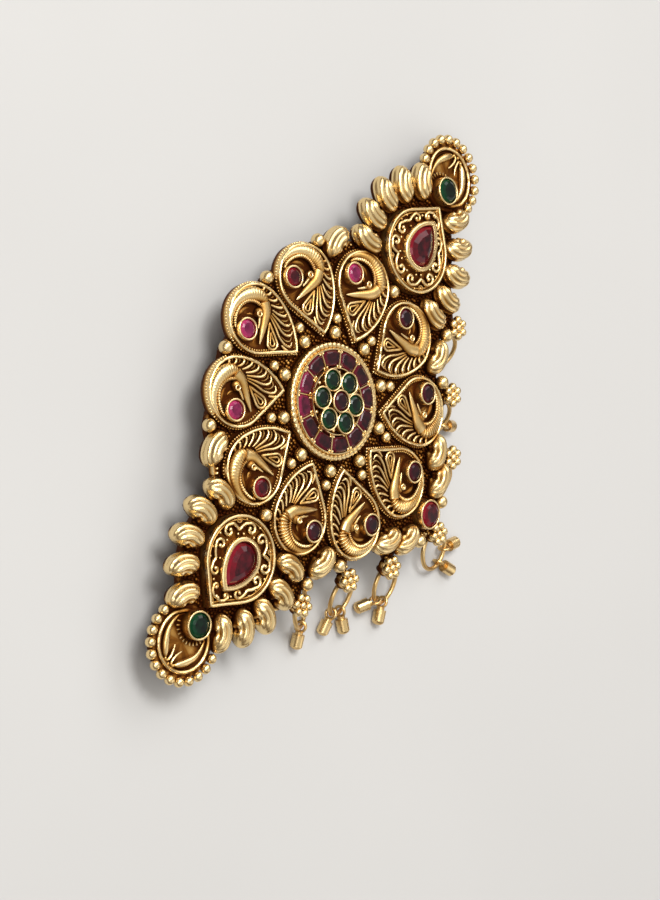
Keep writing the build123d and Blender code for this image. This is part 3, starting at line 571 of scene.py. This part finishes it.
# Medallions: a sunk ground with paired scrolls between a double rim and the pear stone's collar
# each curve: a spiral's (middle, radius, angle where it is left, turn), bridge points, and the last spiral
scrollwork = {"floor": 0.42, "wire": 0.29, "height": 0.32, "ball": 0.36, "rim": 0.25, "innerRim": 0.14,
              "dot": 0.24, "curves": ((((4.7, 1.35), 1.0, 60, -320),
                                       ((4.75, 2.75), (3.95, 3.05), (3.25, 3.2), (3.3, 4.0), (3.2, 4.75)),
                                       ((1.85, 4.6), 1.0, 35, 320)),
                                      (((-0.7, 4.6), 1.0, 140, -320),
                                       ((-2.25, 4.7), (-2.95, 4.05), (-3.6, 4.05)),
                                       ((-4.35, 2.95), 0.85, 95, 300)),
                                      (((-6.15, 1.2), 0.55, 140, -290), ((-7.0, 1.35), (-7.45, 0.75)),
                                       ((-7.25, 0.2), 0.25, 150, 60))),
              "middleDots": ((6.0, 0.0), (4.1, 0.0), (-8.45, 0.0)),
              "sideDots": ((4.5, 4.0), (0.55, 5.75), (0.55, 4.0), (-2.4, 3.3), (3.3, 2.0), (5.4, 2.95),
                           (-1.9, 5.55), (-5.6, 2.2), (-3.3, 5.0), (2.6, 2.9)),
              "ring": (4.45, 4.05), "ringReach": 0.42, "ringWire": 0.13}


def medallionScrolls():
    # each curve winds out of one spiral, runs through its bridge points and winds into the next
    w = scrollwork
    top = medallion["top"] - w["floor"] + w["height"]
    made = []
    for first, bridge, last in w["curves"]:
        knots = np.vstack([spiral(*first)[::-1], bridge, spiral(*last)])
        wire = tube(raised(smoothLine(knots, 170), top), w["wire"], 8)
        ends = balls(raised(knots[[0, -1]], top), w["ball"], 8, 10)
        made += [wire, mirrored(wire), ends, mirrored(ends)]
    sideDots = np.array(w["sideDots"])
    dots = np.vstack([w["middleDots"], sideDots, sideDots * [1, -1]])
    made.append(balls(raised(dots, top - 0.1), w["dot"], 6, 8))
    along, out = w["ring"]
    ring = ringWire(w["ringReach"], w["ringWire"], 0, 20, 6)
    return made + [shifted(ring, along, side * out, top - 0.05) for side in (1, -1)]


m = medallion
ground = m["top"] - scrollwork["floor"]
medallionBase = cushion(medallionOutline,
                        [(-0.05, -0.6), (0, -0.3), (0, m["top"] - 0.35), (-0.08, m["top"] - 0.12),
                         (-0.3, m["top"] - 0.05), (-0.55, m["top"] - 0.1), (-0.65, ground), (-1.6, ground),
                         (-3.0, ground), (-4.5, ground)])
rims = [tube(edgePath(medallionOutline, -0.27, m["top"] - 0.02), scrollwork["rim"], 10, True),
        tube(edgePath(medallionOutline, -0.82, m["top"] - 0.2), scrollwork["innerRim"], 8, True)]
play, half = stones["play"], m["collarWall"] / 2
over = [(play + half + half * math.cos(t), m["collarTop"] - 0.3 + 0.3 * math.sin(t))
        for t in np.linspace(0, np.pi, 9)]
collarRows = [(play + m["collarWall"], 0.2)] + over + [(play, m["collarTop"] - m["collarDepth"])]
collar = [cushion(pearOutline, collarRows),
          milled(edgePath(pearOutline, play + 0.2, m["collarTop"] - 0.07, 0.2), 0.13, 0.3, 0.3, 6, True)]
for name, shapes in (("medallion_bases", [medallionBase]), ("medallion_rims", rims),
                     ("medallion_scrolls", medallionScrolls()), ("medallion_collars", collar)):
    makePiece(name, [placed(shape, where) for where in medallionSeats for shape in shapes])
print("medallions made")

# End discs: big beads round a wire rim, and leaves that curl back to the stone
discForm = {"floor": 0.4, "rim": 0.32, "innerRim": 0.16, "rimReach": 4.75,
            "leaf": ((-2.6, 3.3, 0.12), (-1.0, 3.55, 0.3), (0.6, 3.35, 0.5), (2.1, 2.55, 0.64), (3.3, 1.6, 0.5),
                     (3.85, 1.0, 0.14)),
            "stem": ((1.3, 0.85, 0.12), (2.2, 0.5, 0.2), (3.2, 0.34, 0.22), (3.95, 0.5, 0.2),
                     (4.3, 1.15, 0.12)),
            "knobs": ((3.95, 0.95), (3.95, -0.95), (4.3, 0)), "knob": 0.3,
            "lashes": 7, "lashFirst": 78, "lashStep": 13, "lashReach": (2.45, 3.25), "lashWire": 0.13}


def discDetail():
    d = discForm
    high = d["floor"] + 0.25
    made = []
    for leaf in (tapered(d["leaf"], high, 50, 12), tapered(d["stem"], high + 0.05, 30, 8)):
        made += [leaf, mirrored(leaf)]
    knobs = balls(raised(np.array(d["knobs"]), high), d["knob"], 8, 10)
    # short rays round the collar, from nearly sideways to straight ahead
    lashes = []
    for k in range(d["lashes"]):
        turn = math.radians(d["lashFirst"] - d["lashStep"] * k)
        way = np.array([math.cos(turn), math.sin(turn)])
        line = way * np.linspace(*d["lashReach"], 6)[:, None] - [endDisc["stoneBack"], 0]
        lashes.append(tube(raised(line, high + 0.02), d["lashWire"], 6))
    return made + [knobs] + lashes + [mirrored(lash) for lash in lashes[1:]]


e = endDisc
d = discForm
discBase = [turned([(0, -0.6), (e["radius"], -0.6), (e["radius"], e["top"] - 0.4),
                    (e["radius"] - 0.2, e["top"] - 0.15), (d["rimReach"] + 0.1, e["top"] - 0.1),
                    (d["rimReach"] - 0.25, d["floor"]), (2.4, d["floor"]), (0, d["floor"])], 80),
            ringWire(d["rimReach"], d["rim"], e["top"], 90),
            ringWire(d["rimReach"] - 0.62, d["innerRim"], e["top"] - 0.25, 90, 6)]
beadTurns = np.radians(e["beadStep"] * (np.arange(e["beads"]) - (e["beads"] - 1) / 2))
beadReach = e["radius"] + e["bead"] / 2
beadPlaces = raised(beadReach * np.stack([np.cos(beadTurns), np.sin(beadTurns)], 1), e["top"])
endCup = shifted(collared("green"), -e["stoneBack"], 0, 0)
for name, shapes in (("end_disc_bases", discBase), ("end_disc_beads", [balls(beadPlaces, e["bead"], 16, 20)]),
                     ("end_disc_leaves", discDetail()), ("end_disc_cups", [endCup])):
    makePiece(name, [placed(shape, where) for where in endSeats for shape in shapes])
print("end discs made")

# Kidney beans, lone granules and granule flowers
bean = {"radius": 1.9, "lift": 0.8, "length": 5.9, "bend": 3.0, "ridge": 0.12, "ridges": 10, "crease": 0.18}


def kidneyBean(rows=64, cols=48):
    # round-ended bar bent about a pivot: radius x (1 - ridges along it - crease on its hollow side)
    b = bean
    straight = b["length"] / 2 - b["radius"]
    at = np.sin(np.linspace(-np.pi / 2, np.pi / 2, rows)) * b["length"] / 2
    over = np.maximum(np.abs(at) - straight, 0) / b["radius"]
    radius = b["radius"] * np.sqrt(np.maximum(1 - over ** 2, 0))
    a = circle(cols)
    fade = np.sqrt(np.maximum(radius / b["radius"], 0))[:, None]
    ridges = b["ridge"] * fade * (0.5 - 0.5 * np.cos(b["ridges"] * a))[None] ** 2
    crease = b["crease"] * np.exp(-(at / 0.8) ** 2)[:, None] * np.maximum(-np.cos(a - 0.4), 0)[None]
    wavy = radius[:, None] * (1 - ridges - crease)
    bend = at / b["bend"]
    out = b["bend"] + wavy * np.cos(a)[None]
    up = b["lift"] + wavy * np.sin(a)[None]
    grid = np.stack([out * np.sin(bend)[:, None], out * np.cos(bend)[:, None] - b["bend"], up], -1)
    return surface(grid[:, ::-1], poles=(True, True))


oneBean = kidneyBean()
beans = []
otherBean = mirrored(oneBean)
for bx, by, turn in sideBeans:
    beans += [placed(oneBean, seat(bx, by, turn)), placed(oneBean, seat(-bx, -by, 180 + turn))]
    beans += [placed(otherBean, seat(-bx, by, 180 - turn)), placed(otherBean, seat(bx, -by, -turn))]
for bx, by, turn in cornerBeans:
    beans += [placed(oneBean, seat(bx, by, turn)), placed(otherBean, seat(-bx, by, 180 - turn))]
makePiece("kidney_beans", beans)

granules = {"large": 1.1, "small": 0.92, "innerRing": (10.8, -1.2), "outerRing": (13.05, -3.6), "sink": 0.16}
loneSpots = [(granules[size], px, py) for size, ring in (("large", "innerRing"), ("small", "outerRing"))
             for px, py, turn in ringOf(10, *granules[ring])]
loneSpots += [(granules["large"], side * px, py) for side in (1, -1) for px, py in rimGranules]
lone = [placed(balls([(0, 0, size - granules["sink"])], size, 16, 20), seat(px, py))
        for size, px, py in loneSpots]
makePiece("lone_granules", lone)

flower = {"ball": 0.7, "reach": 1.3, "foot": 1.5, "footTop": 0.4, "lift": 0.85, "eyeOut": 0.8, "eyeDrop": 0.55,
          "eyeRadius": 0.82, "eyeWire": 0.26}
f = flower
bloom = [turned([(0, -0.7), (f["foot"], -0.7), (f["foot"], f["footTop"] - 0.1), (f["foot"] - 0.1, f["footTop"]),
                 (0, f["footTop"])], 32),
         balls([(0, 0, f["lift"])] + [(px, py, f["lift"]) for px, py, turn in ringOf(6, f["reach"])], f["ball"],
               12, 16)]
points, faces = ringWire(f["eyeRadius"], f["eyeWire"], 0, 32, 8)
eyelet = (np.stack([points[:, 0] + f["eyeOut"], -points[:, 2], points[:, 1] - dome["plate"] - f["eyeDrop"]], 1),
          faces)
makePiece("granule_flowers", [placed(shape, seat(*spot)) for spot in hangingFlowers for shape in bloom])
makePiece("ring_eyes", [placed(eyelet, seat(*spot)) for spot in hangingFlowers])
makePiece("corner_cup", [placed(collared("corner", -0.6), seat(0, stones["cornerY"]))])
print("beans, granules and flowers made")

for piece in goldPieces:
    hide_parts("gold_frame")

# Worn highs, and hollows darkened by patina and painted shade: how far each point stands over the ground round
# it
wearAndShade = {"cell": 0.12, "narrow": 0.35, "wide": 1.3, "depth": 0.36, "wideShare": 0.3, "lean": 0.42,
        "low": (-58.0, -42.0), "high": (58.0, 30.0)}


def blurred(grid, sigma):  # Gaussian blur by way of the grid's frequencies
    fy = np.fft.fftfreq(grid.shape[0])[:, None]
    fx = np.fft.rfftfreq(grid.shape[1])[None]
    soft = np.exp(-2 * (np.pi * sigma) ** 2 * (fx ** 2 + fy ** 2))
    return np.fft.irfft2(np.fft.rfft2(grid) * soft, s=grid.shape)


def heightMap():
    # highest point over each cell: every face gives a grid of points as fine as its size asks
    cell, (lowX, lowY), (highX, highY) = wearAndShade["cell"], wearAndShade["low"], wearAndShade["high"]
    gx, gy = np.arange(lowX, highX, cell), np.arange(lowY, highY, cell)
    x, y = np.meshgrid(gx, gy)
    heights = domeHeight(x, y) - np.where(onPlate(x, y), 0, 3.0)
    quads = np.concatenate(goldFaces)
    size = np.maximum(np.ptp(quads[:, :, 0], 1), np.ptp(quads[:, :, 1], 1))
    steps = np.clip(np.ceil(size / cell), 1, 8).astype(int)
    for count in range(1, 9):
        some = quads[steps == count]
        for u in (np.arange(count) + 0.5) / count:
            for v in (np.arange(count) + 0.5) / count:
                near, far = some[:, 0] * (1 - u) + some[:, 1] * u, some[:, 3] * (1 - u) + some[:, 2] * u
                at = near * (1 - v) + far * v
                row, col = ((at[:, 1] - lowY) / cell).astype(int), ((at[:, 0] - lowX) / cell).astype(int)
                np.maximum.at(heights, (row, col), at[:, 2])
    return heights


def addWearAndShade():
    # lean + half of (rise over the near ground + a share of the rise over the wide ground) / depth
    lowX, lowY = wearAndShade["low"]
    heights = heightMap()
    narrow, wide = (blurred(heights, wearAndShade[reach] / wearAndShade["cell"]) for reach in ("narrow", "wide"))
    for piece in goldPieces:
        points = np.empty(len(piece.data.vertices) * 3, np.float32)
        piece.data.vertices.foreach_get("co", points)
        points = points.reshape(-1, 3).astype(float) / millimetre
        col = ((points[:, 0] - lowX) / wearAndShade["cell"]).astype(int)
        row = ((points[:, 1] - lowY) / wearAndShade["cell"]).astype(int)
        rise = (points[:, 2] - narrow[row, col]) + wearAndShade["wideShare"] * (points[:, 2] - wide[row, col])
        wear_and_shade_level = np.clip(wearAndShade["lean"] + 0.5 * rise / wearAndShade["depth"], 0, 1).astype(np.float32)
        attribute = piece.data.attributes.new("wear_and_shade_level", "FLOAT", "POINT")
        attribute.data.foreach_set("value", wear_and_shade_level)


addWearAndShade()
print("exposure worked out")


# Finishes
def linear(hexColour):  # sRGB hex to linear red, green, blue
    values = [int(hexColour[k:k + 2], 16) / 255 for k in (1, 3, 5)]
    return [v / 12.92 if v <= 0.04045 else ((v + 0.055) / 1.055) ** 2.4 for v in values] + [1.0]


def addNode(material, kind, settings=(), links=()):
    # one node, its settings by socket or property name, and what is linked into it
    node = material.node_tree.nodes.new(kind)
    for key, value in dict(settings).items():
        if key in node.inputs:
            node.inputs[key].default_value = value
        else:
            setattr(node, key, value)
    for key, source in dict(links).items():
        material.node_tree.links.new(source, node.inputs[key])
    return node


def newMaterial(name):
    material = bpy.data.materials.new(name)
    material.use_nodes = True
    material.node_tree.nodes.clear()
    return material


def noise(material, where, sizeMm, detail, roughness=0.5):  # cloudy value whose patches have about that size
    return addNode(material, "ShaderNodeTexNoise",
                   {"Scale": 1 / (sizeMm * millimetre), "Detail": detail, "Roughness": roughness},
                   {"Vector": where.outputs["Object"]}).outputs["Fac"]


def setRamp(node, stops):
    ramp = node.color_ramp
    while len(ramp.elements) > 1:
        ramp.elements.remove(ramp.elements[0])
    ramp.elements[0].position, ramp.elements[0].color = stops[0][0], stops[0][1]
    for position, colour in stops[1:]:
        ramp.elements.new(position).color = colour


# Cast brass with antique gilding: bright and smooth where hands rub it, brown and dull in the hollows, which is
# patina together with painted shade
gilt = {"hollow": "#4a240c", "shade": "#8c5a22", "body": "#cb9f58", "bright": "#ecd098", "grainMm": 0.3,
        "blotchMm": 2.2, "bumpMm": 0.06}


def giltMetal(name, useWearAndShade=True):
    material = newMaterial(name)
    where = addNode(material, "ShaderNodeTexCoord")
    big = noise(material, where, gilt["blotchMm"], 3.0, 0.6)
    fine = noise(material, where, gilt["grainMm"], 4.0, 0.7)
    # the level: high on the rubbed highs, low in the hollows, where it paints shade as well as patina
    if useWearAndShade:
        level = addNode(material, "ShaderNodeAttribute", {"attribute_name": "wear_and_shade_level"}).outputs["Fac"]
    else:
        # the wire links read their curvature instead: creases darker as patina and painted shade, rounded edges
        # brighter as wear
        geometry = addNode(material, "ShaderNodeNewGeometry")
        level = addNode(material, "ShaderNodeMapRange",
                        {"From Min": 0.4, "From Max": 0.6, "To Min": 0.5, "To Max": 0.85},
                        {"Value": geometry.outputs["Pointiness"]}).outputs["Result"]
    wander = addNode(material, "ShaderNodeMath", {"operation": "MULTIPLY_ADD"}, {0: big})
    wander.inputs[1].default_value = 0.28
    wander.inputs[2].default_value = -0.14
    mottled = addNode(material, "ShaderNodeMath", {"operation": "ADD"}, {0: level, 1: wander.outputs[0]})
    # the dark tones stand for patina and painted shade in the hollows, the bright tone for rubbed gilding on
    # the highs
    ramp = addNode(material, "ShaderNodeValToRGB", {}, {"Fac": mottled.outputs[0]})
    setRamp(ramp, [(at, linear(gilt[tone]))
                   for at, tone in ((0.12, "hollow"), (0.34, "shade"), (0.56, "body"), (0.85, "bright"))])
    rough = addNode(material, "ShaderNodeMapRange",
                    {"From Min": 0.2, "From Max": 0.8, "To Min": 0.6, "To Max": 0.26},
                    {"Value": mottled.outputs[0]})
    bump = addNode(material, "ShaderNodeBump", {"Strength": 0.35, "Distance": gilt["bumpMm"] * millimetre},
                   {"Height": fine})
    shader = addNode(material, "ShaderNodeBsdfPrincipled", {"Metallic": 1.0},
                     {"Base Color": ramp.outputs["Color"], "Roughness": rough.outputs["Result"],
                      "Normal": bump.outputs["Normal"]})
    addNode(material, "ShaderNodeOutputMaterial", {}, {"Surface": shader.outputs["BSDF"]})
    return material


# Cut glass over foil: a deep colour with painted light on the facets that face one way, mixed with cloudy
# patches, under a hard gloss
# lean: the way of the painted light, set against each facet's normal; dark and bright: the sums at which the
# colour is deep and at which it is fully lit
glass = {"lean": (-0.3, 0.3, -2.2), "cloudMm": 1.1, "dark": -1.8, "bright": -0.7}


def foiledGlass(name, deep, paintedLit):
    material = newMaterial(name)
    where = addNode(material, "ShaderNodeTexCoord")
    geometry = addNode(material, "ShaderNodeNewGeometry")
    paintedFacetLight = addNode(material, "ShaderNodeVectorMath", {"operation": "DOT_PRODUCT"},
                    {0: geometry.outputs["Normal"]})
    paintedFacetLight.inputs[1].default_value = glass["lean"]
    cloud = noise(material, where, glass["cloudMm"], 2.0)
    total = addNode(material, "ShaderNodeMath", {"operation": "ADD"}, {0: paintedFacetLight.outputs["Value"], 1: cloud})
    # how much painted light each facet gets, from none to full
    depth = addNode(material, "ShaderNodeMapRange", {"From Min": glass["dark"], "From Max": glass["bright"]},
                    {"Value": total.outputs[0]})
    ramp = addNode(material, "ShaderNodeValToRGB", {}, {"Fac": depth.outputs["Result"]})
    setRamp(ramp, [(0.0, linear(deep)), (1.0, linear(paintedLit))])
    shader = addNode(material, "ShaderNodeBsdfPrincipled", {"Roughness": 0.1, "IOR": 1.35},
                     {"Base Color": ramp.outputs["Color"]})
    addNode(material, "ShaderNodeOutputMaterial", {}, {"Surface": shader.outputs["BSDF"]})
    return material


# Spring steel strip: drawn, so its fine lines run along the clip
def springSteel():
    material = newMaterial("drawn_spring_steel")
    where = addNode(material, "ShaderNodeTexCoord")
    stretch = addNode(material, "ShaderNodeMapping", {"Scale": (60.0, 2500.0, 2500.0)},
                      {"Vector": where.outputs["Object"]})
    lines = addNode(material, "ShaderNodeTexNoise", {"Scale": 1.0, "Detail": 3.0},
                    {"Vector": stretch.outputs["Vector"]})
    tone = addNode(material, "ShaderNodeValToRGB", {}, {"Fac": lines.outputs["Fac"]})
    setRamp(tone, [(0.3, linear("#8c8880")), (0.7, linear("#b9b4aa"))])
    rough = addNode(material, "ShaderNodeMapRange", {"To Min": 0.28, "To Max": 0.45},
                    {"Value": lines.outputs["Fac"]})
    bump = addNode(material, "ShaderNodeBump", {"Strength": 0.2, "Distance": 0.02 * millimetre},
                   {"Height": lines.outputs["Fac"]})
    shader = addNode(material, "ShaderNodeBsdfPrincipled", {"Metallic": 1.0},
                     {"Base Color": tone.outputs["Color"], "Roughness": rough.outputs["Result"],
                      "Normal": bump.outputs["Normal"]})
    addNode(material, "ShaderNodeOutputMaterial", {}, {"Surface": shader.outputs["BSDF"]})
    return material


giltRelief = giltMetal("antique_gilt_cast_brass")
giltWire = giltMetal("antique_gilt_wire", False)
for piece in goldPieces:
    piece.data.materials.append(giltRelief)
# each glass: its material name, its deep colour, and its colour under full painted light
glasses = {"ruby_dark": ("dark_garnet_glass", "#180409", "#4c0c1c"),
           "ruby_red": ("crimson_glass", "#24040a", "#7e0e20"),
           "ruby_pink": ("pink_ruby_glass", "#561030", "#b03466"),
           "bottle_green": ("bottle_green_glass", "#020805", "#083c22")}
# the stones in the walled cells lie deeper, so they get darker copies of their glass as painted shade
shadedCellGlasses = {"ruby_red": ("crimson_glass_painted_shade", "#1a0409", "#5c1022"),
               "ruby_pink": ("pink_ruby_glass_painted_shade", "#3a0a1c", "#8c2448")}
finishes = {slot: foiledGlass(*tones)
            for slot, tones in glasses.items()} | {"clasp_steel": springSteel(), "gilt_links": giltWire}
cellFinishes = finishes | {slot: foiledGlass(*tones) for slot, tones in shadedCellGlasses.items()}
slotOf = {part["node"]: part["material_slot"] for part in frame["record"]["subparts"]}
for name, node in nodes.items():
    if name == "gold_frame":
        continue
    node.data.materials.clear()
    node.data.materials.append((cellFinishes if name.startswith("rosette") else finishes)[slotOf[name]])
print("materials made")

# Floor, light and camera
floorTone = newMaterial("matt_white_paper")
where = addNode(floorTone, "ShaderNodeTexCoord")
mottleMm = 1000 / 9
paper = addNode(floorTone, "ShaderNodeValToRGB", {}, {"Fac": noise(floorTone, where, mottleMm, 3.0)})
setRamp(paper, [(0.3, linear("#bcbbb9")), (0.7, linear("#c0bfbd"))])
matt = addNode(floorTone, "ShaderNodeBsdfPrincipled", {"Roughness": 0.9},
               {"Base Color": paper.outputs["Color"]})
addNode(floorTone, "ShaderNodeOutputMaterial", {}, {"Surface": matt.outputs["BSDF"]})
floorMesh = bpy.data.meshes.new("floor")
floorMesh.from_pydata([(-2, -2, 0), (2, -2, 0), (2, 2, 0), (-2, 2, 0)], [], [(0, 1, 2, 3)])
floorMesh.materials.append(floorTone)
floorSheet = bpy.data.objects.new("floor", floorMesh)
bpy.context.scene.collection.objects.link(floorSheet)

# the camera's place, the point of the floor that it aims at, and its roll in degrees
camera = {"place": (-310.328, 348.92, 495.175), "aim": (-0.8461, -10.535, 0.0), "roll": 86.0088,
          "lens": 173.256, "sensor": 36.0}
upright = (0.01, 0.02, 1)  # nearly vertical: what roll is counted from


def standing(place, aim, roll=0.0):
    # matrix of something at a place (mm) that looks down its own -z at a point, rolled about that line
    back = unit(np.subtract(place, aim))
    side = unit(np.cross(upright, back))
    up = np.cross(back, side)
    c, s = math.cos(math.radians(roll)), math.sin(math.radians(roll))
    matrix = np.eye(4)
    matrix[:3] = np.stack([c * side + s * up, c * up - s * side, back, np.multiply(place, millimetre)], 1)
    return Matrix(matrix.tolist())


cameraData = bpy.data.cameras.new("camera")
cameraData.lens, cameraData.sensor_width = camera["lens"], camera["sensor"]
cameraData.clip_start, cameraData.clip_end = 0.05, 10.0
cameraObject = bpy.data.objects.new("camera", cameraData)
bpy.context.scene.collection.objects.link(cameraObject)
bpy.context.scene.camera = cameraObject
cameraObject.matrix_world = standing(camera["place"], camera["aim"], camera["roll"])

# round soft lamps: place and width in mm, power in watts
lights = {"window": ((160, 460, 860), 450, 7.0), "camera_side": ((-550, 450, 800), 500, 2.1),
          "fill": ((750, 100, 600), 700, 3.2), "low": ((100, -800, 500), 700, 0.9)}
for name, (place, width, power) in lights.items():
    lamp = bpy.data.lights.new(name, "AREA")
    lamp.shape, lamp.size, lamp.energy = "DISK", width * millimetre, power
    lampObject = bpy.data.objects.new(name, lamp)
    bpy.context.scene.collection.objects.link(lampObject)
    lampObject.matrix_world = standing(place, (0, 0, 0))
world = bpy.data.worlds.new("studio")
world.use_nodes = True
world.node_tree.nodes.clear()
# bright overhead and dim near the horizon, so that the polished metal has something dark to reflect
direction = addNode(world, "ShaderNodeTexCoord")
parts = addNode(world, "ShaderNodeSeparateXYZ", {}, {"Vector": direction.outputs["Generated"]})
sky = addNode(world, "ShaderNodeValToRGB", {}, {"Fac": parts.outputs["Z"]})
setRamp(sky, [(0.0, linear("#5c4636")), (0.35, linear("#98897a")), (0.7, linear("#f6f3ee"))])
background = addNode(world, "ShaderNodeBackground", {"Strength": 0.75}, {"Color": sky.outputs["Color"]})
addNode(world, "ShaderNodeOutputWorld", {}, {"Surface": background.outputs["Background"]})
bpy.context.scene.world = world
bpy.context.scene.view_settings.view_transform = "Standard"
print("stage made")
